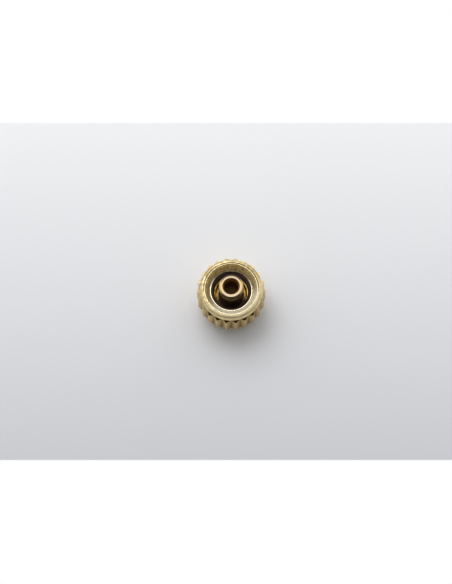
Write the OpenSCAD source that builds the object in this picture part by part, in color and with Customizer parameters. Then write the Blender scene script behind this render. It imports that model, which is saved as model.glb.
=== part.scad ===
// Screw-down watch crown with a sprung stem pipe, lying on its outer face, in millimetres.
// The origin is the middle of the outer face, and +Z runs along the axis towards the watch case.

/* [Head] */
// Diameter over the tips of the ridges
crown_d = 5.3; // [5.2:0.1:5.8]
// Height from the outer face to the crest of the mouth
crown_h = 3.25; // [3.1:0.05:3.8]
// Number of ridges round the rim
ridge_count = 22; // [18:1:28]
// Depth of the grooves between the ridges
ridge_depth = 0.24; // [0.16:0.02:0.28]
// Length of a ridge at its full height
ridge_len = 1.76; // [1.4:0.02:1.9]
// Drop from the crest to the upper ends of the ridge tips
ridge_drop = 0.5; // [0.46:0.01:0.6]
// Height of the turned bevel on both ends of the ridges
ridge_bevel = 0.13; // [0.08:0.01:0.18]
// How deep the grooves bite into the plain shoulder
groove_bite = 0.02; // [0.01:0.005:0.04]
// Radius of the rounded shoulder above the ridges
shoulder_round = 0.35; // [0.2:0.01:0.4]
// Radius of the round between the outer face and the foot of the ridges
foot_round = 0.86; // [0.5:0.02:0.9]
// Least wall between that round and the corner of the cavity
foot_wall = 0.1; // [0.06:0.01:0.14]
// Diameter of the cavity in the cap
cavity_d = 4.2; // [4:0.05:4.3]
// Thickness of the cap's floor
cap_floor = 0.36; // [0.3:0.02:0.44]

/* [Mouth] */
// Diameter of the hole that the case tube enters
mouth_d = 3.07; // [2.9:0.01:3.2]
// Depth of the dish, from the crest to the edge of the hole
dish_h = 0.46; // [0.3:0.02:0.5]
// Width of the flat land round the dish
land_w = 0.08; // [0.04:0.01:0.2]
// Width of the flat lip round the hole
lip_w = 0.08; // [0.02:0.01:0.12]
// Thickness of the dished ring at the edge of its hole
lip_t = 0.16; // [0.1:0.01:0.24]
// Edge break on the dished ring and on the cap's mouth
edge_break = 0.02; // [0.01:0.005:0.03]

/* [Seals] */
// Inner diameter of the O-ring in the mouth
o_ring_d = 2.58; // [2.5:0.01:2.66]
// Thickness of the O-ring's section
o_ring_t = 0.4; // [0.3:0.01:0.42]
// Thickness of the flat gasket on the floor of the well
gasket_t = 0.12; // [0.08:0.01:0.16]
// Thickness of the metal washer that shields the gasket
washer_t = 0.06; // [0.04:0.01:0.1]

/* [Case tube thread] */
// Diameter at the crests of the thread that screws onto the case tube
tube_thread_d = 2.38; // [2.3:0.01:2.5]

/* [Stem pipe] */
// Outer diameter of the pipe
pipe_d = 1.88; // [1.8:0.01:1.94]
// Diameter of the threaded bore for the stem
stem_bore_d = 1.18; // [0.9:0.01:1.24]
// Depth of the stem's bore
stem_bore_depth = 1.75; // [1.4:0.05:1.8]
// Wall between the stem's bore and the spring's well
web_t = 0.15; // [0.1:0.01:0.2]
// How far the pipe stands above the crest when it is out
pipe_proud = 0.68; // [0.4:0.02:0.9]
// Width of the taper round the free end of the pipe
pipe_bevel = 0.09; // [0.04:0.01:0.14]
// Height of that taper
pipe_taper_h = 0.09; // [0.04:0.01:0.3]
// Lead-in bevel at the mouth of the stem's bore
bore_bevel = 0.08; // [0.02:0.01:0.12]
// Distance that the pipe travels into the crown
travel = 0.6; // [0.4:0.02:0.66]
// Width of the pipe's drive head across its flats
head_flats = 2.24; // [2.1:0.02:2.4]
// Thickness of the drive head
head_t = 0.18; // [0.12:0.01:0.22]
// Thickness of the guide plate that holds the head in
guide_t = 0.18; // [0.12:0.01:0.24]

/* [Return spring] */
// Outer diameter of the spring
spring_d = 1.42; // [1.3:0.01:1.46]
// Diameter of the spring's wire
wire_d = 0.12; // [0.08:0.01:0.14]
// Number of turns of wire
spring_turns = 5.5; // [4:0.5:6]
// Thickness of the steel disc under the spring
disc_t = 0.05; // [0.03:0.01:0.08]
// Radial clearance of the spring in the pipe
spring_gap = 0.04; // [0.02:0.01:0.06]

/* [Fits] */
// Radial clearance of the pipe in its guide
guide_gap = 0.03; // [0.02:0.005:0.05]
// Clearance of the drive head on each flat of its socket
socket_gap = 0.03; // [0.02:0.005:0.05]
// Clearance left under the head at the end of its travel
stop_gap = 0.02; // [0.01:0.005:0.05]
// Radial clearance of the gasket and washer round the pipe
seal_gap = 0.06; // [0.04:0.01:0.1]
// Film of retaining compound round each piece pressed into the cap
film = 0.01; // [0.005:0.005:0.02]

/* [Hidden] */
$fn = 96;

// Colours
gold = [0.86, 0.76, 0.52];
brass = [0.78, 0.62, 0.33];
steel = [0.66, 0.67, 0.69];
rubber = [0.07, 0.07, 0.07];

// Radii of the head
tip_r = crown_d / 2;
groove_r = tip_r - ridge_depth;
shoulder_r = groove_r + groove_bite;
cavity_r = cavity_d / 2;
insert_r = cavity_r - film;

// Heights of the ridges
ridge_top = crown_h - ridge_drop;
ridge_low = ridge_top - ridge_len;

// The foot's round ends below the ridges and keeps clear of the cavity's corner
side_wall = shoulder_r - cavity_r;
corner_reach = side_wall + cap_floor - foot_wall;
corner_limit = corner_reach
    + sqrt(max(0, corner_reach ^ 2 - side_wall ^ 2 - cap_floor ^ 2 + foot_wall ^ 2));
foot_r = min(foot_round, ridge_low - ridge_bevel, corner_limit);

// Heights of the stack inside the cap, from its floor upwards
disc_top = cap_floor + disc_t;
head_low = disc_top + stop_gap + travel;
head_top = head_low + head_t;
guide_top = head_top + guide_t;
gasket_top = guide_top + gasket_t;
washer_top = gasket_top + washer_t;
rim_z = crown_h - dish_h;
core_top = rim_z - lip_t;
recess_z = core_top - o_ring_t - film;
pipe_top = crown_h + pipe_proud;

// Radii of the well and the pipe
mouth_r = mouth_d / 2;
ring_mid_r = o_ring_d / 2 + o_ring_t / 2;
recess_r = ring_mid_r + o_ring_t / 2 + film;
well_r = tube_thread_d / 2;
pipe_r = pipe_d / 2;
bore_r = stem_bore_d / 2;
spring_r = spring_d / 2;
spring_well_r = spring_r + spring_gap;
bore_floor = pipe_top - stem_bore_depth;
spring_top = bore_floor - web_t;

// Cuts reach this far past the faces that they open
over = 0.1;

// What a round of radius r takes off a square corner, drawn about the round's centre
module corner_waste(r) {
    difference() {
        square(r + over);
        circle(r);
    }
}

// A turned ring between two radii and two heights
module turned_ring(inner_r, outer_r, low, high) {
    translate([0, 0, low]) difference() {
        cylinder(r = outer_r, h = high - low);
        translate([0, 0, -over]) cylinder(r = inner_r, h = high - low + 2 * over);
    }
}

// Outline of the ridges: sharp V grooves, one of them facing -Y
module ridge_outline() {
    step = 360 / ridge_count;
    polygon([for (i = [0 : 2 * ridge_count - 1])
        let (r = i % 2 == 0 ? groove_r : tip_r, a = -90 + i * step / 2)
        [r * cos(a), r * sin(a)]]);
}

// Half section of the cap before the grooves are cut
module cap_section() {
    difference() {
        square([shoulder_r, crown_h]);
        translate([shoulder_r - shoulder_round, crown_h - shoulder_round])
            corner_waste(shoulder_round);
        translate([shoulder_r - foot_r, foot_r]) mirror([0, 1]) corner_waste(foot_r);
    }
    polygon([
        [0, ridge_low - ridge_bevel],
        [shoulder_r, ridge_low - ridge_bevel],
        [tip_r, ridge_low],
        [tip_r, ridge_top],
        [shoulder_r, ridge_top + ridge_bevel],
        [0, ridge_top + ridge_bevel]
    ]);
}

module knurled_cap() {
    color(gold) difference() {
        intersection() {
            rotate_extrude() cap_section();
            linear_extrude(crown_h) ridge_outline();
        }
        translate([0, 0, cap_floor]) cylinder(r = cavity_r, h = crown_h);
        translate([0, 0, crown_h - edge_break])
            cylinder(r1 = cavity_r, r2 = cavity_r + edge_break + over, h = edge_break + over);
    }
}

// Bush whose six-sided hole turns the pipe and lets it slide
module drive_socket() {
    color(brass) translate([0, 0, cap_floor]) difference() {
        cylinder(r = insert_r, h = head_top - cap_floor);
        translate([0, 0, -over])
            cylinder(r = (head_flats / 2 + socket_gap) / cos(30), h = crown_h, $fn = 6);
    }
}

// Disc that keeps the spring's end off the soft cap
module spring_disc() {
    color(steel) translate([0, 0, cap_floor]) cylinder(r = head_flats / 2 - film, h = disc_t);
}

// Point on the spring's centre line, t running from 0 to 1
function coil_point(t) = let (a = 360 * spring_turns * t, r = spring_r - wire_d / 2,
    low = disc_top + wire_d / 2, high = spring_top - wire_d / 2)
    [r * cos(a), r * sin(a), low + (high - low) * t];

// Compression spring: one unbroken wire, ground to nothing at neither end
module return_spring() {
    sides = 8;
    rings = round(spring_turns * 16);
    points = [for (i = [0 : rings]) let (p = coil_point(i / rings),
        a = 360 * spring_turns * i / rings)
        for (j = [0 : sides - 1]) let (b = 360 * j / sides)
        p + wire_d / 2 * [cos(a) * cos(b), sin(a) * cos(b), sin(b)]];
    walls = [for (i = [0 : rings - 1], j = [0 : sides - 1])
        let (k = (j + 1) % sides, p = i * sides, q = p + sides)
        each [[p + j, q + j, q + k], [p + j, q + k, p + k]]];
    ends = [for (j = [1 : sides - 2]) each [[0, j, j + 1],
        [rings * sides, rings * sides + j + 1, rings * sides + j]]];
    color(steel) polyhedron(points, concat(walls, ends));
}

// Pipe that carries the stem: six-sided head below, threaded bore above
module stem_pipe() {
    color(gold) {
        rotate_extrude() polygon([
            [spring_well_r, head_low],
            [pipe_r, head_low],
            [pipe_r, pipe_top - pipe_taper_h],
            [pipe_r - pipe_bevel, pipe_top],
            [bore_r + bore_bevel, pipe_top],
            [bore_r, pipe_top - bore_bevel],
            [bore_r, bore_floor],
            [0, bore_floor],
            [0, spring_top],
            [spring_well_r, spring_top]
        ]);
        difference() {
            translate([0, 0, head_low]) cylinder(r = head_flats / 2 / cos(30), h = head_t, $fn = 6);
            translate([0, 0, head_low - over])
                cylinder(r = (spring_well_r + pipe_r) / 2, h = head_t + 2 * over);
        }
    }
}

// Plate that the pipe slides through and its head stops against
module guide_plate() {
    color(brass) turned_ring(pipe_r + guide_gap, insert_r, head_top, guide_top);
}

// Flat gasket that the end of the case tube closes on
module floor_gasket() {
    color(rubber) turned_ring(pipe_r + seal_gap, well_r - film, guide_top, gasket_top);
}

// Washer that takes the rub of the case tube off the gasket
module gasket_washer() {
    color(gold) turned_ring(pipe_r + seal_gap, well_r - film, gasket_top, washer_top);
}

// Sleeve with the case tube's thread below and the O-ring's recess above
module threaded_core() {
    color(gold) difference() {
        translate([0, 0, guide_top]) cylinder(r = insert_r, h = core_top - guide_top);
        translate([0, 0, guide_top - over]) cylinder(r = well_r, h = crown_h);
        translate([0, 0, recess_z]) cylinder(r = recess_r, h = crown_h);
    }
}

module mouth_o_ring() {
    color(rubber) translate([0, 0, recess_z + o_ring_t / 2])
        rotate_extrude() translate([ring_mid_r, 0]) circle(d = o_ring_t);
}

// Pressed-in ring with the dished face, which holds the O-ring down
module dished_ring() {
    color(gold) rotate_extrude() polygon([
        [mouth_r, core_top],
        [insert_r, core_top],
        [insert_r, crown_h - edge_break],
        [insert_r - edge_break, crown_h],
        [insert_r - land_w, crown_h],
        [mouth_r + lip_w, rim_z],
        [mouth_r, rim_z]
    ]);
}

knurled_cap();
drive_socket();
spring_disc();
return_spring();
stem_pipe();
guide_plate();
floor_gasket();
gasket_washer();
threaded_core();
mouth_o_ring();
dished_ring();
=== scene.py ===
import math

import bpy
import numpy as np
from mathutils import Matrix, Vector


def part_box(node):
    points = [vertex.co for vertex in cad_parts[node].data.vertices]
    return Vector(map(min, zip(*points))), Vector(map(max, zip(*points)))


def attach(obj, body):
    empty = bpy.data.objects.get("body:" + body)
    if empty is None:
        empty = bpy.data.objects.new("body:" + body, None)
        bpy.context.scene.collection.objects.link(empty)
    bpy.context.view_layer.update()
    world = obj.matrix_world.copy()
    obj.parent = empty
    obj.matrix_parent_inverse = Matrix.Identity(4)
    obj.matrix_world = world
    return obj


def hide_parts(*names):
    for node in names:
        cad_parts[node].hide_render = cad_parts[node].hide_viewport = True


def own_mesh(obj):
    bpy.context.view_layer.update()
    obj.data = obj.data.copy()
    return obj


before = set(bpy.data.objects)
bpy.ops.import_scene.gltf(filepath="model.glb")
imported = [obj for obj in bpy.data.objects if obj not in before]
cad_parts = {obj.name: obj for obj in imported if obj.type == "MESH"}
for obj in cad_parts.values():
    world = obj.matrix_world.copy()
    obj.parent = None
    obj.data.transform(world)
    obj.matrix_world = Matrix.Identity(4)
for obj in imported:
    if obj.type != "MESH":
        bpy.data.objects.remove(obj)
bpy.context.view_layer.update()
mm = 0.001


# Outer radius, lowest height and highest height of a CAD node, in millimetres
def reach(node):
    low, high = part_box(node)
    return high.x / mm, low.z / mm, high.z / mm


insertR, seatZ, crestZ = reach("dished_ring")


# A value that varies over a surface: it wraps a node's socket, and Python maths on it adds Math
# nodes
class Field:
    def __init__(self, tree, socket=None):
        self.tree = tree
        self.socket = socket

    # Any node: its type, its settings, the values or links of its sockets, and the output wanted
    def node(self, kind, settings, inputs, output=0):
        made = self.tree.nodes.new(kind)
        for name, value in settings.items():
            setattr(made, name, value)
        for name, value in inputs.items():
            if isinstance(value, Field):
                self.tree.links.new(value.socket, made.inputs[name])
            else:
                made.inputs[name].default_value = value
        return Field(self.tree, made.outputs[output] if made.outputs else None)

    def maths(self, operation, first, second):
        return self.node("ShaderNodeMath", {"operation": operation}, {0: first, 1: second})

    def __add__(self, other):
        return self.maths("ADD", self, other)

    def __sub__(self, other):
        return self.maths("SUBTRACT", self, other)

    def __rsub__(self, other):
        return self.maths("SUBTRACT", other, self)

    def __mul__(self, other):
        return self.maths("MULTIPLY", self, other)

    def __truediv__(self, other):
        return self.maths("DIVIDE", self, other)

    def __abs__(self):
        return self.maths("ABSOLUTE", self, 0)

    __radd__ = __add__
    __rmul__ = __mul__

    # Rises smoothly from 0 at low to 1 at high
    def rise(self, low, high):
        return self.node("ShaderNodeMapRange", {"interpolation_type": "SMOOTHSTEP"},
                         {"Value": self, "From Min": low, "From Max": high})

    # This vector with each axis stretched
    def stretch(self, x, y, z):
        return self.node("ShaderNodeVectorMath", {"operation": "MULTIPLY"}, {0: self, 1: (x, y, z)})

    def axis(self, name):
        return self.node("ShaderNodeSeparateXYZ", {}, {0: self}, name)

    # Distance from the Z axis
    def radius(self):
        return self.node("ShaderNodeVectorMath", {"operation": "LENGTH"},
                         {0: self.stretch(1, 1, 0)}, "Value")

    # Noise with features about 1 / scale long, in three dimensions
    def noise(self, scale, detail):
        return self.node("ShaderNodeTexNoise", {},
                         {"Vector": self, "Scale": scale, "Detail": detail})

    # Noise along one number, for lines that a tool left
    def lines(self, scale):
        return self.node("ShaderNodeTexNoise", {"noise_dimensions": "1D"},
                         {"W": self, "Scale": scale, "Detail": 3})

    # 1 between two values and 0 outside them, with edges this soft
    def band(self, low, high, soft):
        return self.rise(low - soft, low + soft) * (1 - self.rise(high - soft, high + soft))

    # The colour between two others at this share
    def colour(self, start, end):
        return self.node("ShaderNodeMix", {"data_type": "RGBA"}, {0: self, 6: start, 7: end}, 2)

    # Small relief in the surface, in micrometres of height
    def relief(self, height):
        return self.node("ShaderNodeBump", {},
                         {"Height": self, "Distance": height * mm * mm}, "Normal")


# An empty material, its node tree, and the point on its surface, which is the Object coordinate in
# millimetres
def emptyMaterial(name):
    material = bpy.data.materials.new(name)
    material.use_nodes = True
    material.node_tree.nodes.clear()
    root = Field(material.node_tree)
    place = root.node("ShaderNodeTexCoord", {}, {}, "Object")
    point = root.node("ShaderNodeMapping", {}, {"Vector": place, "Scale": (1 / mm,) * 3})
    return material, root, point


# A finish: constants stay on the shader's sockets, and look(point) gives the sockets that vary
def finishOf(name, constants, look):
    material, root, point = emptyMaterial(name)
    shader = root.node("ShaderNodeBsdfPrincipled", {}, {**constants, **look(point)}, "BSDF")
    root.node("ShaderNodeOutputMaterial", {}, {"Surface": shader})
    return material


# Thin marks: noise made this many times as long along Y, kept only where it is strongest
def scratches(point, scale, long, threshold):
    return point.stretch(scale, scale / long, scale).noise(1, 1).rise(threshold, threshold + 0.04)


gold = {
    # paintedSheen: a painted highlight, the pale of the dish's lit front right and of its lip
    "paintedSheen": (0.97, 0.88, 0.65, 1),
    "pale": (0.94, 0.80, 0.46, 1),
    "dull": (0.42, 0.31, 0.14, 1),
    # brownAndShade: brown that also paints shade on the cap's flanks and a dark reflection on its
    # front bevels
    "brownAndShade": (0.66, 0.44, 0.13, 1),
    "pipe": (0.84, 0.66, 0.36, 1),
    "pipeDeep": (0.72, 0.50, 0.21, 1),
    "pipeEnd": (0.49, 0.385, 0.25, 1),
    # pipeSideReflection: a painted reflection of the gold dish on the sides of the pipe's end
    "pipeSideReflection": (0.52, 0.375, 0.17, 1),
    "oiled": (0.86, 0.53, 0.12, 1),
    "oiledDeep": (0.54, 0.27, 0.04, 1),
    # oilAndShade: the colour of old oil, also used for painted shade
    "oilAndShade": (0.070, 0.033, 0.012, 1),
}


# Wear and dirt that the gold pieces share
wear = {
    "hides": 0.6,                # dirt and painted shade of this much hide the colour of the metal
    "roughens": 0.15,            # what full dirt and painted shade add to the roughness
    "mottling": ((3.4, 2, 0.8), (6.5, 2, 0.7), (11, 1, 0.4)),  # features per mm, detail and share
    "microns": 34,               # height of the marks on the head
    "shadeSide": (-0.48, 0.88),   # direction of the side with painted shade, along X and Y
    "shadeReach": 1.7,            # how far that way the painted shade is full, and as far back it is gone
    "clouds": (0.35, 0.70),      # levels of noise over which clouds, patches and specks set in
    "patches": (0.38, 0.62),
    "specks": (0.42, 0.66),
    "cloudShare": 0.3,
    "jointFall": (0.2, 0.1),     # from the crest down to where the joint's dirt ends and is full
    "jointSide": (-0.6, 0.9),    # along Y, because it lies on the far half
    "jointDirt": 0.9,
}


# Metal under old oil and dust and under painted shade, which hide its colour and its shine as
# these go from 0 to 1. Satin is the share of the light that it scatters evenly, as metal does that
# is rough on a scale too small for the noise.
def soiledAndShaded(tone, dirtAndShade, rough, height, microns, satin=0):
    return {
        "Base Color": dirtAndShade.rise(0, wear["hides"]).colour(tone, gold["oilAndShade"]),
        "Metallic": (1 - dirtAndShade) * (1 - satin),
        "Roughness": rough + dirtAndShade * wear["roughens"],
        "Normal": height.relief(microns),
    }


# Mottling that handling and old polish leave on the head: three sizes of noise added up
def mottle(point):
    return sum(point.noise(scale, detail) * share for scale, detail, share in wear["mottling"])


# Painted shade on the far left side, mixed into the gold's dulling: 1 there and 0 across from it
def shadedSideOf(point):
    x, y = wear["shadeSide"]
    return (point.axis("Y") * y + point.axis("X") * x).rise(-wear["shadeReach"], wear["shadeReach"])


# Patches of older skin among brighter ones
def patchesOf(point, scale):
    return point.noise(scale, 2).rise(*wear["patches"])


# How far the gold has dulled: broad clouds, patches and fine specks added up
def dulled(cloud, patches, fine, spots, specks):
    clouds = cloud.rise(*wear["clouds"]) * wear["cloudShare"]
    return clouds + patches * spots + fine.rise(*wear["specks"]) * specks


# Dirt in the fine joint between the cap and the dished ring, at the crest and on the far half
def dirtInJoint(point, beside):
    low, full = wear["jointFall"]
    nearCrest = point.axis("Z").rise(crestZ - low, crestZ - full)
    return beside * nearCrest * point.axis("Y").rise(*wear["jointSide"]) * wear["jointDirt"]


ridgeWear = {
    "softEnd": (0.002, 0.015),   # within and past the bevels' ends, where shoulder and foot begin
    "bevelled": (0.86, 0.95),    # near the plane of the bevels, which is at 1
    "tip": (0.06, 0.015),        # below a ridge's tip, where it turns bright
    "inward": (0.02, 0.03),      # from the groove where it is brownest, and from the tip where not
    "spots": (0.38, 0.20, 0.24),  # patches on the shoulder, and how much less on flank and foot
    "specks": 0.2,
    "dull": (0.5, 0.5, 0.20),    # dulling everywhere, what the painted shade of the far left adds, and that side's even painted shade
    "farSidesDarker": 0.45,            # darker on the shoulder's far left and far right
    "brownAndShade": (0.75, 0.25, 0.8),  # brown on the flanks, partly painted shade; brown towards the grooves; painted reflection on the front's upper bevels
    "dirtAndShade": (0.30, 0.12),        # dirt in the grooves, and painted shade that darkens the ridges' lower halves
    "rough": 0.24,
    "satin": 0.14,
}


# Cap: ridges milled along the axis, bright on their worn tips and brown towards the grooves, with
# bevels turned on their ends. The shoulder and the foot are mottled. The flanks' brown is partly
# painted shade, the front's upper bevels carry a painted reflection of the dark in front, and the
# far left side and the ridges' lower halves carry painted shade.
def ridgeLook(point):
    radius, height, shaded = point.radius(), point.axis("Z"), shadedSideOf(point)
    fromMiddle = abs(height - cap["middle"])
    end = cap["halfLength"] + cap["bevel"]
    onRidges = 1 - fromMiddle.rise(end - ridgeWear["softEnd"][0], end + ridgeWear["softEnd"][1])
    bevelled = ((radius - cap["shoulderR"]) / cap["ridgeRise"]
                + (fromMiddle - cap["halfLength"]) / cap["bevel"])
    onBevel = bevelled.rise(*ridgeWear["bevelled"]) * onRidges
    upper = onBevel * height.rise(cap["middle"], cap["ridgeTop"])
    onFlank = onRidges * (1 - onBevel)
    tipLow, tipHigh = (cap["tipR"] - lower for lower in ridgeWear["tip"])
    tip = radius.rise(tipLow, tipHigh) * onFlank
    above, below = ridgeWear["inward"]
    inward = (1 - radius.rise(cap["grooveR"] + above, cap["tipR"] - below)) * onFlank
    upward = height.rise(cap["ridgeLow"], cap["ridgeTop"])
    onFoot = (1 - onRidges) * (1 - upward)
    cloud, fine, patches = point.noise(2.2, 3), point.noise(16, 3), patchesOf(point, 4.5)
    milled = point.stretch(55, 55, 3).noise(1, 2)
    turned = (radius + height).lines(45)
    nicks = scratches(point, 9, 6, 0.62) + scratches(point.stretch(1, 1, 5), 5, 5, 0.64)

    spots, lessOnFlank, lessOnFoot = ridgeWear["spots"]
    spots = spots - onFlank * lessOnFlank - onFoot * lessOnFoot
    everywhere, aside, even = ridgeWear["dull"]
    wearAndShade = dulled(cloud, patches, fine, spots, ridgeWear["specks"]) * (everywhere + shaded * aside)
    farSidesDarker = abs(point.axis("X")).rise(0.7, 1.7) * point.axis("Y").rise(0.3, 1.5)
    wearAndShade = wearAndShade + shaded * even + farSidesDarker * (1 - onRidges - onFoot) * ridgeWear["farSidesDarker"]
    # Painted reflection: the front's upper bevels turn brown and dark, as they mirror what stands
    # in front
    inFront = 1 - point.axis("Y").rise(-2.2, -1.0)
    flankShare, grooveShare, bevelShare = ridgeWear["brownAndShade"]
    brownAndShade = onFlank * (1 - tip) * flankShare + inward * grooveShare + upper * inFront * bevelShare
    tone = brownAndShade.colour(wearAndShade.colour(gold["pale"], gold["dull"]), gold["brownAndShade"])

    joint = dirtInJoint(point, 1 - radius.rise(cap["cavityR"] + 0.03, cap["cavityR"] + 0.045))
    # Painted shade: the ridges darken towards their lower ends
    lower = (1 - height.rise(cap["ridgeLow"], cap["ridgeTop"] + 0.1)) * onFlank
    inGroove = (inward + milled * 0.3).rise(0.7, 1.3) * onFlank
    dirtAndShade = inGroove * ridgeWear["dirtAndShade"][0] + lower * ridgeWear["dirtAndShade"][1] + joint
    rough = ridgeWear["rough"] + cloud * 0.10 + patches * 0.12 + fine * 0.08
    rough = rough - tip * 0.04 - upper * 0.30 + (1 - onRidges) * 0.05
    knocked = mottle(point) * (0.4 + upward * 0.65)
    marks = milled * onFlank * 0.05 + (turned * 0.04 + knocked) * (1 - onFlank) * (1 - onBevel)
    marks = marks + (fine * 0.06 - nicks * 0.06) * (1 - upper)
    return soiledAndShaded(tone, dirtAndShade, rough, marks, wear["microns"], (1 - onRidges) * ridgeWear["satin"])


dishWear = {
    "lipEdge": (0.02, 0.06),     # past the lip, where the dish's look takes over
    "lipShadeSide": (0.2, 1.2),     # along Y, where painted shade darkens the far part of the lip
    "sheenSide": (0.3, -0.9),   # direction of the side with the painted sheen, along X and Y
    "nearLip": 0.22,             # how far from the lip the satin of the painted sheen is greatest
    "spots": 0.45,
    "specks": 0.25,
    "dull": (0.2, 0.8, 0.03),    # dulling everywhere, what the painted shade of the far left adds, and that side's even painted shade
    "creep": (0.02, 0.04),       # how far oil has crept onto the lip from the hole
    "dirtAndShade": (0.7, 0.4, 0.6),     # under the lip, painted shade on the far part of the lip, and at the hole's edge
    "rough": 0.28,
    "satin": (0.12, 0.28, 0.58),  # on the dish, more on the side with the painted sheen, and most next to the lip there
}


# Dished ring: turned with a broad tool, then knocked about by years of use. Its front right carries
# a painted sheen and its far left painted shade. Its lip is bright, partly with a painted
# highlight, and painted shade darkens its far side. Old oil has crept onto the edge of the hole.
def dishLook(point):
    radius, height, shaded = point.radius(), point.axis("Z"), shadedSideOf(point)
    mouthR, lipOut = dish["mouthR"], dish["mouthR"] + dish["lipW"]
    # The lip's pale colour is partly polish, partly a painted highlight
    lip = 1 - radius.rise(lipOut + dishWear["lipEdge"][0], lipOut + dishWear["lipEdge"][1])
    # Painted shade: the far part of the lip loses its brightness and turns dark
    farLipShade = lip * point.axis("Y").rise(*dishWear["lipShadeSide"])
    lip = lip - farLipShade * 0.8
    x, y = dishWear["sheenSide"]
    # Painted sheen: the dish's front right is paler and more satin, as if lit from behind
    paintedSheen = (point.axis("X") * x + point.axis("Y") * y).rise(0.1, 1.1) * (1 - lip)
    nearLip = 1 - radius.rise(lipOut, lipOut + dishWear["nearLip"])
    land = radius.band(insertR - 0.09, insertR - 0.02, 0.015)
    rimZ = crestZ - dish["depth"]
    under = 1 - height.rise(rimZ - 0.08, rimZ - 0.02)
    cloud, fine, patches = point.noise(2.6, 3), point.noise(14, 3), patchesOf(point, 5)
    turned = (radius - height * 0.6).lines(10)
    nicks = scratches(point, 8, 7, 0.60) + scratches(point.stretch(6, 1, 1), 1.6, 0.3, 0.63)

    everywhere, aside, even = dishWear["dull"]
    wearAndShade = dulled(cloud, patches, fine, dishWear["spots"], dishWear["specks"])
    wearAndShade = wearAndShade * (everywhere + shaded * aside) + shaded * even
    handled = abs(point.axis("X")).rise(0.9, 2.0) * 0.3
    wearAndShade = wearAndShade * (1 - handled) * (1 - paintedSheen * 0.7)
    paleAndSheen = (paintedSheen + lip).colour(gold["pale"], gold["paintedSheen"])
    tone = (wearAndShade * (1 - lip - land * 0.6)).colour(paleAndSheen, gold["dull"])

    joint = dirtInJoint(point, radius.rise(insertR - 0.035, insertR - 0.02))
    creeping = 1 - radius.rise(mouthR + dishWear["creep"][0], mouthR + dishWear["creep"][1])
    underShare, lipShare, edgeShare = dishWear["dirtAndShade"]
    atEdge = creeping * (1 - under) * (edgeShare - farLipShade * 0.2)
    dirtAndShade = joint + under * underShare + farLipShade * lipShare + atEdge
    rough = dishWear["rough"] + cloud * 0.10 + patches * 0.14 + fine * 0.08
    rough = rough + paintedSheen * 0.06 - lip * 0.18
    marks = (turned * 0.45 + mottle(point) * 1.25 + fine * 0.08 - nicks * 0.10) * (1 - lip)
    plain, more, most = dishWear["satin"]
    satin = (1 - lip) * plain + paintedSheen * (more + nearLip * most)
    return soiledAndShaded(tone, dirtAndShade, rough, marks, wear["microns"], satin)


# Core: the same gold, plainly turned. Its ledge is oily and carries painted shade on its front
# half, and its thread is darkened partly by old oil and dust, partly by painted shade.
def coreLook(point):
    radius, height = point.radius(), point.axis("Z")
    cloud = point.noise(3, 3)
    onLedge = height.rise(core["ledge"] - 0.03, core["ledge"] - 0.01)
    # Painted shade on the front half of the ledge
    frontShade = 1 - point.axis("Y").rise(-1.0, 0.1)
    oily = cloud.rise(0.45, 0.75) * 0.3 + frontShade * 0.7
    # The thread's wall is darkened all over: old oil and dust, and painted shade in the well
    dirtAndShade = (1 - onLedge) * (0.80 + cloud * 0.2) + onLedge * oily
    tone = cloud.rise(0.4, 0.7).colour(gold["oiled"], gold["oiledDeep"])
    return soiledAndShaded(tone, dirtAndShade, 0.30 + cloud * 0.14, (radius + height).lines(50), core["microns"])


# Washer: turned bright once, now brown with oil, and darker on its front half with painted shade
def washerLook(point):
    cloud, fine = point.noise(3.6, 3), point.noise(12, 3)
    tone = cloud.rise(0.3, 0.65).colour(gold["oiled"], gold["oiledDeep"])
    # Painted shade on the washer's front half
    frontShade = 1 - point.axis("Y").rise(-0.9, 0.2)
    dirtAndShade = fine.rise(0.45, 0.7) * 0.5 + frontShade * 0.8
    return soiledAndShaded(tone, dirtAndShade, 0.30 + cloud * 0.2, point.radius().lines(50), rings["microns"])


pipeWear = {
    "bore": (0.04, 0.40),        # dirt at the bore's mouth, and the old oil and painted shade that its depth adds
    "foot": (0.3, 0.6),          # old oil and painted shade low on the outside, evenly and in clouds
    "bevel": (0.8, 0.6),         # painted shade on the end's bevel, and how much less at its sides
    # farRim: painted shade on the far side of the end's rim
    "farRim": 0.6,
    "rough": 0.17,
    "microns": 0.8,
}


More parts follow.
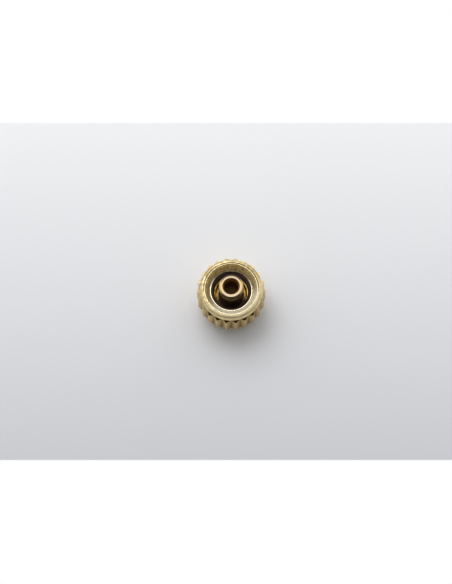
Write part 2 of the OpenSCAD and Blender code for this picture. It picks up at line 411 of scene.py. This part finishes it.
# Pipe: turned bright, the tool's lines running round. Its bore and its foot hold old oil and
# painted shade. Painted shade darkens the end's bevel and far rim, and its sides carry a painted
# reflection of the gold dish.
def pipeLook(point):
    radius, height, top = point.radius(), point.axis("Z"), pipe["top"]
    inBore = 1 - radius.rise(pipe["boreR"] + 0.01, pipe["boreR"] + 0.03)
    # Deeper in the bore: old oil and painted shade
    deep = 1 - height.rise(top - 0.7, top - 0.1)
    # Low on the outside, down in the well: old oil and painted shade
    low = (1 - height.rise(crestZ - 0.4, crestZ + 0.5)) * (1 - inBore)
    onBevel = height.band(top - pipe["taperH"] - 0.02, top - 0.012, 0.008) * (1 - inBore)
    onEnd = height.rise(top - 0.02, top - 0.005)
    # The end's sides: a painted reflection of the gold dish, and less painted shade on the bevel
    aside = abs(point.axis("X")).rise(0.45, 0.85)
    rimR = pipe["outerR"] - pipe["taperW"]
    # Painted shade on the far side of the end's rim
    farRim = radius.rise(rimR - 0.07, rimR - 0.02) * onEnd * point.axis("Y").rise(0.1, 0.6)
    cloud = point.noise(2.8, 3)
    turned = (radius * 0.8 + height).lines(60)
    nicks = scratches(point, 10, 6, 0.64)

    tone = (cloud.rise(0.35, 0.7) * 0.6).colour(gold["pipe"], gold["pipeDeep"])
    tone = onEnd.colour(tone, aside.colour(gold["pipeEnd"], gold["pipeSideReflection"]))
    tone = inBore.colour(tone, gold["oiledDeep"])
    mouth, deeper = pipeWear["bore"]
    even, clouded = pipeWear["foot"]
    bevel, lessAside = pipeWear["bevel"]
    dirtAndShade = inBore * (mouth + deep * deeper) + low * (even + cloud * clouded)
    dirtAndShade = dirtAndShade + onBevel * (bevel - aside * lessAside) + farRim * pipeWear["farRim"]
    rough = pipeWear["rough"] + cloud * 0.12 + onEnd * 0.12 + inBore * 0.18
    return soiledAndShaded(tone, dirtAndShade, rough, turned * 0.6 - nicks * 0.6, pipeWear["microns"])


plain = {
    "rubber": ((0.022, 0.013, 0.007, 1), (0.050, 0.029, 0.014, 1)),
    "brass": ((0.80, 0.58, 0.27, 1), (0.60, 0.40, 0.17, 1)),
    "steel": ((0.60, 0.61, 0.63, 1), (0.44, 0.44, 0.46, 1)),
}


# Rubber: matt, with a bloom and fine pits
def rubberLook(point):
    cloud, pits = point.noise(3, 3), point.noise(30, 3)
    return {
        "Base Color": cloud.rise(0.35, 0.75).colour(*plain["rubber"]),
        "Roughness": 0.42 + cloud * 0.2 + pits * 0.1,
        "Normal": (pits + cloud * 0.4).relief(1.5),
    }


# Brass: turned, a little tarnished in clouds
def brassLook(point):
    cloud = point.noise(2.4, 3)
    turned = (point.radius() + point.axis("Z") * 0.7).lines(35)
    return {
        "Base Color": cloud.rise(0.3, 0.75).colour(*plain["brass"]),
        "Roughness": 0.24 + cloud * 0.2,
        "Normal": turned.relief(2),
    }


# Spring steel: rolled or drawn, with fine lines along Y
def steelLook(point):
    cloud = point.noise(4, 2)
    rolled = point.stretch(70, 4, 70).noise(1, 2)
    return {
        "Base Color": cloud.rise(0.3, 0.8).colour(*plain["steel"]),
        "Roughness": 0.22 + cloud * 0.16,
        "Normal": rolled.relief(0.8),
    }


# Every finish, by the name that the pieces use for it
def makeFinishes():
    metal = {"Metallic": 1.0}
    return {
        "ridges": finishOf("ridgedGold", {}, ridgeLook),
        "dish": finishOf("dishGold", {}, dishLook),
        "core": finishOf("coreGold", {}, coreLook),
        "washer": finishOf("washerGold", {}, washerLook),
        "pipe": finishOf("pipeGold", {}, pipeLook),
        "brass": finishOf("turnedBrass", metal, brassLook),
        "steel": finishOf("springSteel", metal, steelLook),
        "rubber": finishOf("greasedRubber", {"Specular IOR Level": 0.3}, rubberLook),
    }


# Puts a mesh, camera or lamp into the scene as an object
def placed(name, data):
    made = bpy.data.objects.new(name, data)
    bpy.context.scene.collection.objects.link(made)
    return made


# Joins a grid of points, rows by columns, into faces that point outwards when its rows run
# anticlockwise round the half section. Columns always close. Rows close on themselves in a ring,
# and otherwise each end row is closed by a fan to its middle.
def meshOf(name, grid, ring):
    rows, columns = grid.shape[:2]
    here = np.arange(rows * columns).reshape(rows, columns)
    beside = np.roll(here, -1, axis=1)
    points = grid.reshape(-1, 3)
    if ring:
        above, besideAbove = np.roll(here, -1, axis=0), np.roll(beside, -1, axis=0)
        quads = np.stack([here, beside, besideAbove, above], axis=-1)
        faces = quads.reshape(-1, 4).tolist()
    else:
        quads = np.stack([here[:-1], beside[:-1], beside[1:], here[1:]], axis=-1)
        faces = quads.reshape(-1, 4).tolist()
        first = np.full(columns, len(points))
        faces += np.stack([first, beside[0], here[0]], axis=-1).tolist()
        faces += np.stack([here[-1], beside[-1], first + 1], axis=-1).tolist()
        points = np.vstack([points, grid[0].mean(axis=0), grid[-1].mean(axis=0)])
    mesh = bpy.data.meshes.new(name)
    mesh.from_pydata((points * mm).tolist(), [], faces)
    mesh.polygons.foreach_set("use_smooth", np.ones(len(faces), bool))
    mesh.update()
    return placed(name, mesh)


# Finishes a piece: its material, the CAD node that it stands for and its body
def fit(piece, finish, node, body):
    piece.data.materials.append(finish)
    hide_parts(node)
    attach(piece, body)
    print(f"{piece.name}: {len(piece.data.polygons)} faces, stands for {node}")


rounding = {
    "mostOfSide": 0.3,         # a rounded corner takes no more of the side beside it
    "beyond": 1.5,             # the extra row lies this far from the corner, counted in cuts
    "steps": 4,
}


# A half section for every column at once. Each corner is (radius, height, cut), and each number
# may differ by column. A cut of 0 keeps the point. Any other rounds the corner by a parabola,
# (1-t)^2 start + 2t(1-t) corner + t^2 end, whose ends lie that far from it along both sides, and
# one more row beyond each end keeps the shading of the straight parts true.
def sectionOf(corners, columns, ring):
    knots = [[np.broadcast_to(value, columns) for value in corner[:2]] for corner in corners]
    knots = np.array(knots, float).transpose(0, 2, 1)
    share = np.linspace(0, 1, rounding["steps"] + 1)
    rows = []
    for index, corner in enumerate(corners):
        knot, cut = knots[index], corner[2]
        if cut == 0 or (not ring and index in (0, len(corners) - 1)):
            rows.append(knot)
            continue
        ends = []
        for neighbour in (knots[index - 1], knots[(index + 1) % len(corners)]):
            side = neighbour - knot
            length = np.linalg.norm(side, axis=1, keepdims=True)
            ends.append(side / length * np.minimum(cut, rounding["mostOfSide"] * length))
        start, end = knot + ends[0], knot + ends[1]
        rows.append(knot + ends[0] * rounding["beyond"])
        rows += [(1 - t) ** 2 * start + 2 * t * (1 - t) * knot + t ** 2 * end for t in share]
        rows.append(knot + ends[1] * rounding["beyond"])
    return np.array(rows)


# Corners along an arc about (radius, height), from one angle to another in degrees
def arcOf(centreR, centreZ, size, start, end, steps):
    angles = [np.radians(start + (end - start) * share) for share in np.linspace(0, 1, steps)]
    return [(centreR + size * np.cos(angle), centreZ + size * np.sin(angle), 0) for angle in angles]


# Plain points along a straight stretch, its ends left out
def stretchOf(start, end, steps):
    start, end = np.array(start, float), np.array(end, float)
    return [(*(start + (end - start) * share), 0) for share in np.linspace(0, 1, steps + 2)[1:-1]]


# Angles spaced evenly over one turn
def evenAngles(count):
    return np.linspace(0, 2 * math.pi, count, endpoint=False)


# Turns a half section about the axis: (r cos a, r sin a, z)
def turn(section, angles):
    radius, height = section[..., 0], section[..., 1]
    return np.stack([radius * np.cos(angles), radius * np.sin(angles), height], axis=-1)


# Outward normals of a grid, from the cross product of its differences along columns and rows
def normalsOf(grid):
    along = np.roll(grid, -1, axis=1) - np.roll(grid, 1, axis=1)
    normal = np.cross(along, np.gradient(grid, axis=0))
    return normal / np.maximum(np.linalg.norm(normal, axis=2, keepdims=True), 1e-12)


# Presses round dents into a grid: each lowers the surface along its normal by
# depth * exp(-distance^2 / width^2) from its centre. A raised one has a negative depth.
def pressDents(grid, centres, widths, depths):
    press = np.zeros(grid.shape[:2])
    for centre, width, depth in zip(centres, widths, depths):
        press += depth * np.exp(-((grid - centre) ** 2).sum(axis=2) / width ** 2)
    return grid - normalsOf(grid) * press[..., None]


threadForm = {
    "flat": 0.14,              # share of half a pitch that is flat, at the crest and at the root
    "round": 0.4,              # how much of a rounded flank is mixed into the straight one
    "onWall": 0.001,           # a point this near the wall's radius is on the wall
}


# Moves the points of one wall by a right-handed thread: a wave with flat crests and roots that
# climbs one pitch a turn and fades out over half a pitch at both ends
def cutThread(section, angles, wall, thread):
    radius, height = section[..., 0], section[..., 1]
    wave = np.abs(2 * ((height / thread["pitch"] - angles / (2 * math.pi)) % 1) - 1)
    groove = np.clip((wave - threadForm["flat"]) / (1 - 2 * threadForm["flat"]), 0, 1)
    smooth = groove * groove * (3 - 2 * groove)
    groove = smooth * threadForm["round"] + groove * (1 - threadForm["round"])
    fromEnd = np.minimum(height - thread["low"], thread["high"] - height)
    fade = np.clip(fromEnd / thread["pitch"] * 2, 0, 1)
    onWall = np.abs(radius - wall) < threadForm["onWall"]
    section[..., 0] = radius + np.where(onWall, thread["depth"] * groove * fade, 0)
    return section


# Radius of a hexagon with corners on the X axis: flats / 2 / cos(angle from the flat's middle), its
# corners turned down to a circle. The softer minimum of the two is -s ln(exp(-a/s) + exp(-b/s)).
def hexRadius(angles, flats, corner, soft=0.012):
    fromFlat = (angles % (math.pi / 3)) - math.pi / 6
    sharp = flats / 2 / np.cos(fromFlat)
    return -soft * np.log(np.exp(-sharp / soft) + np.exp(-corner / soft))


cap = {
    "ridges": 22,
    "ridgeDepth": 0.24,
    "ridgeDrop": 0.5,          # from the crest down to the ridges' upper ends
    "ridgeLength": 1.76,
    "bevel": 0.13,
    "grooveBite": 0.02,
    "shoulderRound": 0.35,
    "footRound": 0.86,
    "cavityR": 2.1,
    "floor": 0.36,
    "edgeBreak": 0.02,
    "columns": 24,             # for each ridge
    "crowding": 0.8,           # how much closer the columns lie at tips and grooves
    "softTip": 0.034,          # share of the pitch over which a worn tip is round
    "softGroove": 0.026,
    "wear": 0.016,             # the most that a tip has lost
    "shallower": 0.012,        # the most that a groove lacks in depth
    "jitter": 0.010,           # how far a tip or groove strays, as a share of the pitch
    "bevelled": 0.88,          # the bevels reach this share of the way down to the grooves
    "centreR": 0.05,           # the faces' middles are closed by a fan inside this radius
    "dents": 90,
    "dentWidth": (0.03, 0.08),
    "dentDepth": (0.003, 0.014),
    "seed": 11,
}
cap["tipR"] = reach("knurled_cap")[0]
cap["grooveR"] = cap["tipR"] - cap["ridgeDepth"]
cap["shoulderR"] = cap["grooveR"] + cap["grooveBite"]
cap["ridgeRise"] = cap["tipR"] - cap["shoulderR"]
cap["ridgeTop"] = crestZ - cap["ridgeDrop"]
cap["ridgeLow"] = cap["ridgeTop"] - cap["ridgeLength"]
cap["middle"] = (cap["ridgeTop"] + cap["ridgeLow"]) / 2
cap["halfLength"] = cap["ridgeLength"] / 2


# The ridges' outline: place x counts ridges round the rim from the groove that faces -Y, so grooves
# lie at whole numbers and tips half way. Each flank is the straight line between its groove and its
# tip, R = g t sin(h) / (g sin(w) + t sin(h - w)), with w the angle from the groove and h half the
# pitch, and w is softened near both ends so that they come out round.
def ridgeOutline(random):
    count, pitch = cap["ridges"], 2 * math.pi / cap["ridges"]
    step = np.arange(count * cap["columns"]) / cap["columns"]
    place = step - cap["crowding"] * np.sin(4 * math.pi * step) / (4 * math.pi)
    groove = cap["grooveR"] + random.uniform(0, cap["shallower"], count)
    tip = cap["tipR"] - random.uniform(0, cap["wear"], count)
    tip[count // 4] = cap["tipR"]
    grooveHere = groove[np.round(place).astype(int) % count]
    tipHere = tip[np.floor(place).astype(int) % count]
    away = np.sqrt((place - np.round(place)) ** 2 + cap["softGroove"] ** 2)
    away = 0.5 - np.sqrt((0.5 - away) ** 2 + cap["softTip"] ** 2)
    away = away * pitch
    outline = (grooveHere * tipHere * math.sin(pitch / 2)
               / (grooveHere * np.sin(away) + tipHere * np.sin(pitch / 2 - away)))
    stray = random.uniform(-1, 1, 2 * count) * cap["jitter"]
    stray = np.interp(place, np.arange(2 * count + 1) / 2, np.append(stray, stray[0]))
    return outline, (place + stray) * pitch - math.pi / 2


# The angle in degrees where an arc about centreR reaches a radius
def arcAngle(radius, centreR, size):
    return np.degrees(np.arccos(np.clip((radius - centreR) / size, 0, 1)))


# The cap's half section goes up the outside, over the crest and down into the cavity. Where a
# groove is deeper than the shoulder, the foot's and the shoulder's arcs end at the groove's wall.
def makeCap():
    random = np.random.default_rng(cap["seed"])
    outline, angles = ridgeOutline(random)
    flank = np.minimum(outline, cap["shoulderR"])
    low, top, bevel = cap["ridgeLow"], cap["ridgeTop"], cap["bevel"]
    foot, shoulder = cap["footRound"], cap["shoulderRound"]
    slope = np.clip((cap["tipR"] - outline) / cap["ridgeRise"], 0, cap["bevelled"]) * bevel
    footR = cap["shoulderR"] - foot
    footEnd = np.minimum(-3, -arcAngle(flank, footR, foot))
    crownR, crownZ = cap["shoulderR"] - shoulder, crestZ - shoulder
    crownStart = np.maximum(3, arcAngle(flank, crownR, shoulder))
    mouthR = cap["cavityR"] + cap["edgeBreak"] * 0.9
    crownEnd = math.degrees(math.acos((mouthR - crownR) / shoulder))
    mouthZ = crownZ + shoulder * math.sin(math.radians(crownEnd))
    corners = (
        [(cap["centreR"], 0, 0), (footR * 0.5, 0, 0), (footR * 0.9, 0, 0)]
        + arcOf(footR, foot, foot, -90, footEnd, 18)
        + [(outline, low - slope, 0.012)]
        + [(outline, low + (top - low) * share, 0) for share in np.linspace(0.04, 0.96, 22)]
        + [(outline, top + slope, 0.012), (flank, top + bevel, 0.010)]
        + arcOf(crownR, crownZ, shoulder, crownStart, crownEnd - 3, 20)
        + [(mouthR, mouthZ, 0.005), (cap["cavityR"], crestZ - cap["edgeBreak"], 0.008)]
        + stretchOf((cap["cavityR"], crestZ - 0.05), (cap["cavityR"], cap["floor"]), 6)
        + [(cap["cavityR"], cap["floor"], 0.03), (1.2, cap["floor"], 0)]
        + [(cap["centreR"], cap["floor"], 0)]
    )
    grid = turn(sectionOf(corners, len(angles), False), angles)
    around = random.uniform(0, 2 * math.pi, cap["dents"])
    height = random.uniform(low, crestZ, cap["dents"])
    reachR = np.where(height < top, cap["tipR"], cap["shoulderR"] - 0.05)
    centres = np.stack([reachR * np.cos(around), reachR * np.sin(around), height], axis=1)
    widths = random.uniform(*cap["dentWidth"], cap["dents"])
    depths = random.uniform(*cap["dentDepth"], cap["dents"])
    grid = pressDents(grid, centres, widths, depths)
    fit(meshOf("knurledCap", grid, False), finishes["ridges"], "knurled_cap", "crown")


dish = {
    "mouthR": 1.535,
    "lipW": 0.08,
    "lipRound": 0.02,          # radius of the lip's inner edge
    "landW": 0.08,
    "depth": 0.46,
    "edgeBreak": 0.02,
    "columns": 420,
    "dents": 260,
    "dentPlace": (0.05, 0.95),  # share of the way from the lip to the land
    "dentWidth": (0.04, 0.12),
    "dentDepth": 0.009,
    "dentShare": (-0.6, 1),    # of that depth, and less than 0 where one stands up
    "seed": 5,
}


# The ring pressed into the mouth. Its half section goes out under it, up its outside, over the flat
# land, down the straight slope of the dish and round the narrow lip, and the dish is dented.
def makeDishedRing():
    random = np.random.default_rng(dish["seed"])
    mouthR, lipRound = dish["mouthR"], dish["lipRound"]
    lipOut, landIn = mouthR + dish["lipW"], insertR - dish["landW"]
    rimZ = crestZ - dish["depth"]
    corners = (
        [(mouthR, seatZ, 0.015), (insertR, seatZ, 0.015)]
        + stretchOf((insertR, seatZ), (insertR, crestZ), 3)
        + [(insertR, crestZ - dish["edgeBreak"], 0.008)]
        + [(insertR - dish["edgeBreak"], crestZ, 0.008), (landIn, crestZ, 0.012)]
        + stretchOf((landIn, crestZ), (lipOut, rimZ), 22)
        + [(lipOut, rimZ, 0.006), (mouthR + lipRound, rimZ, 0.004)]
        + arcOf(mouthR + lipRound, rimZ - lipRound, lipRound, 100, 175, 6)
    )
    angles = evenAngles(dish["columns"])
    grid = turn(sectionOf(corners, len(angles), True), angles)
    share = random.uniform(*dish["dentPlace"], dish["dents"])
    around = random.uniform(0, 2 * math.pi, dish["dents"])
    radius, height = lipOut + (landIn - lipOut) * share, rimZ + dish["depth"] * share
    centres = np.stack([radius * np.cos(around), radius * np.sin(around), height], axis=1)
    depths = random.uniform(*dish["dentShare"], dish["dents"]) * dish["dentDepth"]
    widths = random.uniform(*dish["dentWidth"], dish["dents"])
    grid = pressDents(grid, centres, widths, depths)
    fit(meshOf("dishedRing", grid, True), finishes["dish"], "dished_ring", "crown")


seal = {
    "wire": 0.4,
    "flash": 0.006,            # height of the mould's parting line
    "flashW": 0.10,            # its width, as the sine of the angle round the wire
    "recess": 1.7,             # radius of its recess in the sleeve
    "sides": 40,
    "columns": 256,
}


# O-ring: a torus with the faint line that the mould leaves round its inside and outside. Away from
# that line the wire is thinner by flash * (1 - exp(-(sin a / width)^2)).
def makeORing():
    outerR, low, high = reach("mouth_o_ring")
    size = seal["wire"] / 2
    around = evenAngles(seal["sides"])
    line = seal["flash"] * np.exp(-(np.sin(around) / seal["flashW"]) ** 2)
    bulge = size + line - seal["flash"]
    middleR, middleZ = outerR - size, (low + high) / 2
    wire = [middleR + bulge * np.cos(around), middleZ + bulge * np.sin(around)]
    section = np.stack(wire, axis=-1)
    angles = evenAngles(seal["columns"])
    grid = turn(np.repeat(section[:, None, :], len(angles), axis=1), angles)
    fit(meshOf("mouthORing", grid, True), finishes["rubber"], "mouth_o_ring", "crown")


core = {
    "wellR": 1.19,
    "leadIn": 0.04,
    "ledge": reach("mouth_o_ring")[1] - 0.01,
    "columns": 300,
    "thread": {"pitch": 0.25, "depth": 0.10},
    "threadEnd": 0.12,         # how far above the lower end the thread stops
    "microns": 1.2,            # height of the turned lines
}


# Sleeve: its half section goes out, up the outside and over the O-ring's recess to the ledge, then
# down the well, whose wall the case tube's thread is cut into
def makeCore():
    outerR, low, high = reach("threaded_core")
    wellR, lead, ledge = core["wellR"], core["leadIn"], core["ledge"]
    corners = (
        [(wellR, low, 0.01), (outerR, low, 0.02), (outerR, high, 0.02)]
        + [(seal["recess"], high, 0.01), (seal["recess"], ledge, 0.03)]
        + [(wellR + lead, ledge, 0.008), (wellR, ledge - lead, 0.006)]
        + stretchOf((wellR, ledge - lead), (wellR, low), 44)
    )
    angles = evenAngles(core["columns"])
    section = sectionOf(corners, len(angles), True)
    thread = {**core["thread"], "low": low + core["threadEnd"], "high": ledge - lead}
    grid = turn(cutThread(section, angles, wellR, thread), angles)
    fit(meshOf("threadedCore", grid, True), finishes["core"], "threaded_core", "crown")


rings = {
    "bore": 1.0,               # hole of the gasket and the washer
    "guideBore": 0.97,
    "columns": 256,
    "microns": 1.2,            # height of the washer's turned lines
}


# A flat ring with rounded edges between two radii and two heights
def flatRing(name, innerR, outerR, low, high, edge):
    corners = [(innerR, low, edge), (outerR, low, edge), (outerR, high, edge), (innerR, high, edge)]
    angles = evenAngles(rings["columns"])
    return meshOf(name, turn(sectionOf(corners, len(angles), True), angles), True)


# The washer, the gasket and the guide plate
def makeFlatRings():
    for name, node, bore, edge, finish, slot in (
        ("gasketWasher", "gasket_washer", rings["bore"], 0.012, "washer", "gold_pipe"),
        ("floorGasket", "floor_gasket", rings["bore"], 0.035, "rubber", "rubber"),
        ("guidePlate", "guide_plate", rings["guideBore"], 0.02, "brass", "brass"),
    ):
        outerR, low, high = reach(node)
        fit(flatRing(name, bore, outerR, low, high, edge), finishes[finish], node, "crown")


pipe = {
    "outerR": 0.94,
    "boreR": 0.59,
    "taperW": 0.09,            # taper round the free end
    "taperH": 0.09,
    "leadIn": 0.08,            # bevel at the bore's mouth
    "top": reach("stem_pipe")[2],
    "boreDepth": 1.75,
    "drillPoint": 0.03,        # how much deeper the bore is in its middle
    "web": 0.15,
    "wellR": 0.75,             # the spring's well
    "flats": 2.24,
    "headCorner": 1.27,        # the head's corners are turned down to this radius
    "headT": 0.18,
    "centreR": 0.04,           # the web's middles are closed by a fan inside this radius
    "columns": 252,
    "thread": {"pitch": 0.25, "depth": -0.05},
    "threadEnds": (0.15, 0.10),  # how far it stops above the bore's floor and below the free end
}


# The pipe's half section runs from the web out to the spring's well, round the six-sided head,
# up the outside, over the end and down the threaded bore
def makePipe():
    angles = evenAngles(pipe["columns"])
    low, high = reach("stem_pipe")[1:]
    outerR, boreR, wellR = pipe["outerR"], pipe["boreR"], pipe["wellR"]
    lead, centreR = pipe["leadIn"], pipe["centreR"]
    taperZ, headTop = high - pipe["taperH"], low + pipe["headT"]
    boreFloor = high - pipe["boreDepth"]
    webLow = boreFloor - pipe["web"]
    head = hexRadius(angles, pipe["flats"], pipe["headCorner"])
    corners = (
        [(centreR, webLow, 0), (0.4, webLow, 0), (wellR, webLow, 0.04)]
        + stretchOf((wellR, webLow), (wellR, low), 6)
        + [(wellR, low, 0.02), (head, low, 0.02), (head, headTop, 0.02), (outerR, headTop, 0.015)]
        + stretchOf((outerR, headTop), (outerR, taperZ), 16)
        + [(outerR, taperZ, 0.02), (outerR - pipe["taperW"], high, 0.008)]
        + [(boreR + lead, high, 0.008), (boreR, high - lead, 0.008)]
        + stretchOf((boreR, high - lead), (boreR, boreFloor), 84)
        + [(boreR, boreFloor, 0.02), (0.3, boreFloor, 0)]
        + [(centreR, boreFloor - pipe["drillPoint"], 0)]
    )
    section = sectionOf(corners, len(angles), False)
    aboveFloor, belowEnd = pipe["threadEnds"]
    thread = {**pipe["thread"], "low": boreFloor + aboveFloor, "high": high - belowEnd}
    grid = turn(cutThread(section, angles, boreR, thread), angles)
    fit(meshOf("stemPipe", grid, False), finishes["pipe"], "stem_pipe", "pipe")


socket = {
    "flats": 2.3,
    "corner": 1.32,            # the hole's corners reach no further
    "columns": 360,
}


# Bush with a six-sided hole, broached through: a flat ring whose inner wall follows the hexagon
def makeSocket():
    outerR, low, high = reach("drive_socket")
    angles = evenAngles(socket["columns"])
    hole = hexRadius(angles, socket["flats"], socket["corner"])
    corners = [(hole, low, 0.015), (outerR, low, 0.03), (outerR, high, 0.02), (hole, high, 0.03)]
    grid = turn(sectionOf(corners, len(angles), True), angles)
    fit(meshOf("driveSocket", grid, True), finishes["brass"], "drive_socket", "crown")


flatDisc = {
    "centreR": 0.05,           # its middle is closed by a fan inside this radius
    "middleR": 0.6,
    "columns": 128,
}


# Disc under the spring: a flat coin with a rounded rim
def makeDisc():
    outerR, low, high = reach("spring_disc")
    centreR, middleR = flatDisc["centreR"], flatDisc["middleR"]
    angles = evenAngles(flatDisc["columns"])
    corners = [(centreR, low, 0), (middleR, low, 0), (outerR, low, 0.015), (outerR, high, 0.008)]
    corners += [(middleR, high, 0), (centreR, high, 0)]
    grid = turn(sectionOf(corners, len(angles), False), angles)
    piece = meshOf("springDisc", grid, False)
    fit(piece, finishes["steel"], "spring_disc", "crown")


spring = {
    "wire": 0.12,
    "turns": 5.5,
    "rings": 40,               # for each turn
    "sides": 16,
    "closing": 0.05,           # how much the end turns close up
    "travel": 0.6,
}


# Spring: a tube along a helix whose height rises as t - c sin(2 pi t), so the end turns lie closer.
def makeSpring():
    outerR, low, high = reach("return_spring")
    size = spring["wire"] / 2
    share = np.linspace(0, 1, round(spring["turns"] * spring["rings"]) + 1)
    angle = 2 * math.pi * spring["turns"] * share
    climb = share - spring["closing"] * np.sin(2 * math.pi * share)
    height = low + size + (high - low - 2 * size) * climb
    across = np.stack([np.cos(angle), np.sin(angle), 0 * angle], axis=-1)
    line = across * (outerR - size) + height[:, None] * np.array([0, 0, 1])
    around = evenAngles(spring["sides"])
    grid = (line[:, None, :] + size * (across[:, None, :] * np.cos(around)[None, :, None]
            - np.array([0, 0, 1]) * np.sin(around)[None, :, None]))
    piece = meshOf("returnSpring", grid, False)
    fit(piece, finishes["steel"], "return_spring", "crown")
    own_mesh(piece)


studio = {
    "lens": 200,
    "sensor": 36,              # along the picture's long side
    "clip": 10,                # nothing nearer than this is drawn
    "distance": 248.4,
    "elevation": 73,
    "aside": 0.394,            # how far the hole's rim lies right of the picture's middle
    "above": 0.107,
    "pictureHeight": 584,      # pixels
    "tableRows": (123, 460),   # picture rows where the pale table begins and ends
    "tableEdge": 0.05,         # half the width over which it gives way to white
    # the table's two colours paint the light falling off from the back: lit far away, shaded near
    # the camera
    "tableFarLit": (0.905, 0.912, 0.925, 1),
    "tableNearShaded": (0.62, 0.625, 0.65, 1),
    "floorHalf": 500,
    "floorZ": -0.004,          # just under the crown
    "lampPlace": (-122, 262, 370),
    "lampSize": 340,
    "lampPower": 0.85,
    "front": 0.33,
    "back": 0.98,              # what the sky gains towards the back and a little to the left
    "backSpan": (-0.3, 0.8),   # where, along Y of a direction of length 1
    "toLeft": 0.18,
    "top": 0.25,
    "topSpan": (0.6, 1.0),     # the same along Z
    "white": (0.985, 0.992, 1, 1),
    "shade": (0.025, 0.018, 0.012, 1),  # what stands in front of the crown
    "shadeUp": (0.34, 0.84, 0.08),      # from 20 to 57 degrees up, and how soft its edges are
    "shadeSpan": (-0.42, -0.15),
}


# Directions of the picture's up and of the camera, and the point in the picture's middle
def sightLine():
    tilt = math.radians(studio["elevation"])
    up = Vector((0, math.sin(tilt), math.cos(tilt)))
    toCamera = Vector((0, -math.cos(tilt), math.sin(tilt)))
    rim = Vector((0, 0, crestZ - dish["depth"]))
    return up, toCamera, rim - Vector((1, 0, 0)) * studio["aside"] - up * studio["above"]


# The camera stands at its distance from that point, with the picture's up as its own
def makeCamera():
    up, toCamera, middle = sightLine()
    lens = bpy.data.cameras.new("camera")
    lens.lens, lens.sensor_width = studio["lens"], studio["sensor"]
    lens.clip_start = studio["clip"] * mm
    camera = placed("camera", lens)
    turned = Matrix((Vector((1, 0, 0)), up, toCamera)).transposed().to_4x4()
    camera.matrix_world = Matrix.Translation((middle + toCamera * studio["distance"]) * mm) @ turned
    bpy.context.scene.camera = camera


# Where a row of the picture meets the table, as a distance along Y
def tableAtRow(row):
    up, toCamera, middle = sightLine()
    fieldHeight = studio["distance"] * studio["sensor"] / studio["lens"]
    offset = (0.5 - row / studio["pictureHeight"]) * fieldHeight
    eye = middle + toCamera * studio["distance"]
    ray = middle + up * offset - eye
    return (eye + ray * (-eye.z / ray.z)).y


# The floor: a pale table that darkens towards the camera, a painted fall-off of the light from
# behind. It gives way to plain white behind the crown and in front of it, for rays from the camera
# and rays that metal or glass sends on.
def makeFloor():
    half, top = studio["floorHalf"], studio["floorZ"]
    corners = [(-half, -half, top), (half, -half, top), (half, half, top), (-half, half, top)]
    mesh = bpy.data.meshes.new("floor")
    mesh.from_pydata([[value * mm for value in corner] for corner in corners], [], [(0, 1, 2, 3)])
    floor = placed("floor", mesh)
    material, root, point = emptyMaterial("table")
    along, grain = point.axis("Y"), point.noise(1.2, 3)
    far, near = (tableAtRow(row) for row in studio["tableRows"])
    # Painted light: the table's colour darkens towards the camera
    share = root.node("ShaderNodeMapRange", {}, {"Value": along, "From Min": near, "From Max": far})
    table = root.node("ShaderNodeBsdfPrincipled", {}, {
        "Base Color": share.colour(studio["tableNearShaded"], studio["tableFarLit"]),
        "Roughness": 0.7 + grain * 0.1,
        "Specular IOR Level": 0.2,
    }, "BSDF")
    white = root.node("ShaderNodeEmission", {}, {"Strength": 1.0}, "Emission")
    rays = [root.node("ShaderNodeLightPath", {}, {}, name)
            for name in ("Is Camera Ray", "Is Glossy Ray", "Is Transmission Ray")]
    seen = root.maths("MAXIMUM", root.maths("MAXIMUM", rays[0], rays[1]), rays[2])
    edge, soft = (far - near) / 2, studio["tableEdge"]
    beyond = abs(along - (far + near) / 2).rise(edge - soft, edge + soft)
    surface = root.node("ShaderNodeMixShader", {}, {0: seen * beyond, 1: table, 2: white}, "Shader")
    root.node("ShaderNodeOutputMaterial", {}, {"Surface": surface})
    mesh.materials.append(material)


# Soft studio: bright behind and a little on the left, brighter overhead, dimmer in front, with the
# dark of the camera's side half way up. A large lamp stands behind on the left.
def makeLight():
    world = bpy.data.worlds.new("studio")
    world.use_nodes = True
    world.node_tree.nodes.clear()
    root = Field(world.node_tree)
    direction = root.node("ShaderNodeTexCoord", {}, {}, "Generated")
    along, up = direction.axis("Y"), direction.axis("Z")
    behind = (along - direction.axis("X") * studio["toLeft"]).rise(*studio["backSpan"])
    level = studio["front"] + behind * studio["back"] + up.rise(*studio["topSpan"]) * studio["top"]
    shade = up.band(*studio["shadeUp"]) * (1 - along.rise(*studio["shadeSpan"]))
    background = root.node("ShaderNodeBackground", {}, {
        "Color": shade.colour(studio["white"], studio["shade"]),
        "Strength": level * (1 - shade) + shade,
    }, "Background")
    root.node("ShaderNodeOutputWorld", {}, {"Surface": background})
    bpy.context.scene.world = world
    lamp = bpy.data.lights.new("window", "AREA")
    lamp.size, lamp.energy = studio["lampSize"] * mm, studio["lampPower"]
    place = Vector(studio["lampPlace"]) * mm
    turned = place.to_track_quat("Z", "Y").to_matrix().to_4x4()
    placed("window", lamp).matrix_world = Matrix.Translation(place) @ turned


print("stage: finishes")
finishes = makeFinishes()
print("stage: pieces that show")
makeCap()
makeDishedRing()
makeORing()
makeCore()
makeFlatRings()
makePipe()
print("stage: pieces inside")
makeSocket()
makeDisc()
makeSpring()
print("stage: table, light and camera")
makeFloor()
makeLight()
makeCamera()
bpy.context.scene.view_settings.view_transform = "Standard"
